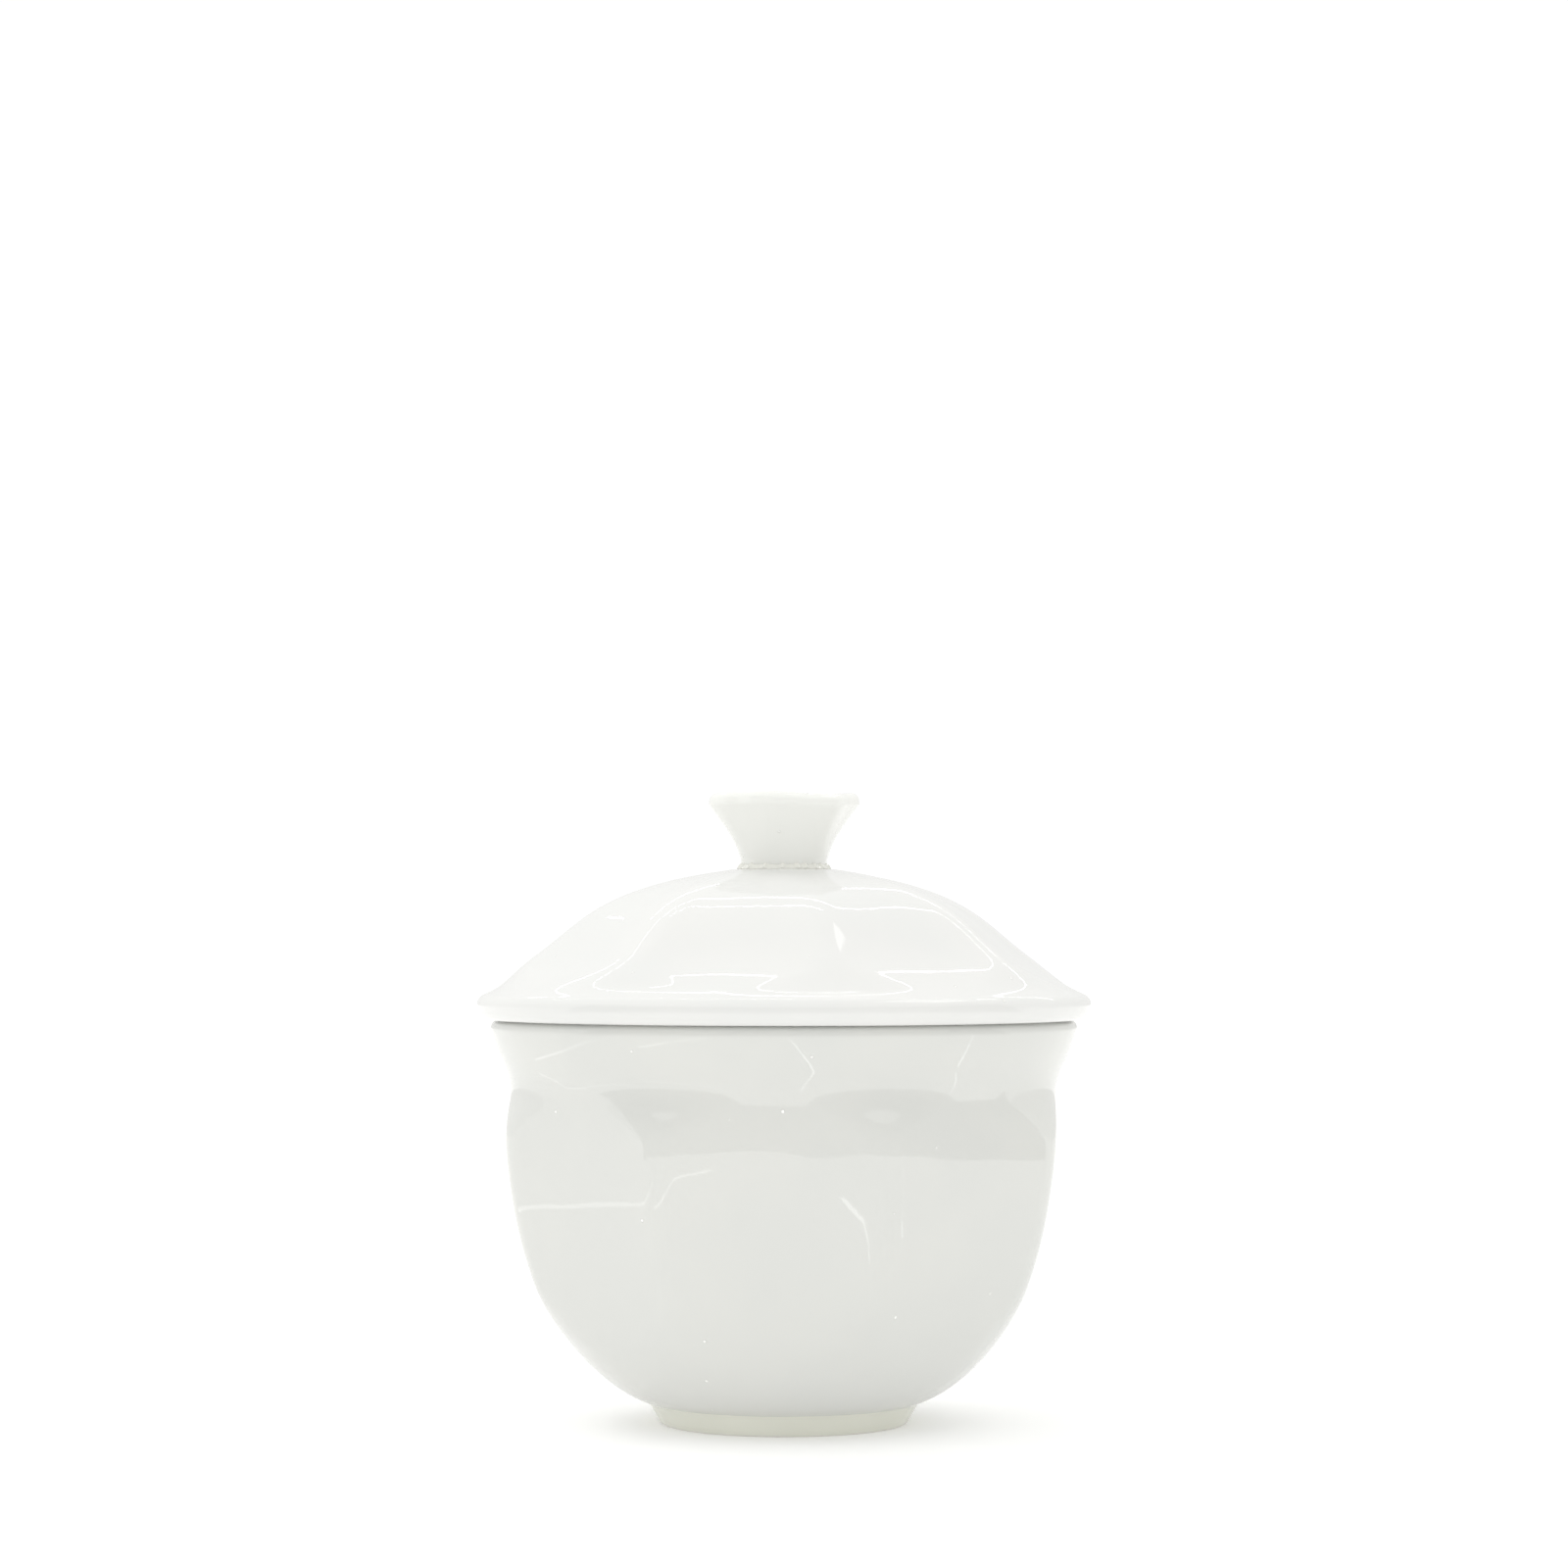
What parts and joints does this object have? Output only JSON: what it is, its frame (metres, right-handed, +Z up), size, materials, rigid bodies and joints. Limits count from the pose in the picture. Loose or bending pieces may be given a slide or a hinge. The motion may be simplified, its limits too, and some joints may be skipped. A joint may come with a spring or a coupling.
{
  "type": "lidded porcelain stew cup",
  "caption": "White glazed porcelain cup with soft flat panels, a flared round mouth and a foot ring, covered by a loose domed lid with a lobed knob.",
  "frame": {"origin": "centre of the foot, on the plane that the cup stands on", "axes": "+Z up through the knob; -Y is the middle of the cup's front panel"},
  "size_m": [0.11, 0.11, 0.1125],
  "materials": {
    "cup_glaze": "clear gloss glaze over warm white porcelain",
    "foot_glaze": "clear gloss glaze, wiped off the edge that it stands on",
    "lid_glaze": "clear gloss glaze over warm white porcelain",
    "bare_porcelain": "unglazed, smooth and matt",
    "knob_glaze": "clear gloss glaze over warm white porcelain",
    "slip_glaze": "glazed slip, slightly uneven"
  },
  "bodies": {
    "cup": {"bowl": "cup_glaze", "foot_ring": "foot_glaze"},
    "lid": {"lid_dome": "lid_glaze", "lid_seat_ring": "bare_porcelain", "knob": "knob_glaze", "knob_slip_joint": "slip_glaze"}
  },
  "joints": [
    {"name": "lid_lift", "type": "slide", "parent": "cup", "child": "lid", "axis": [0, 0, 1], "range_m": [0, 0.04]}
  ]
}
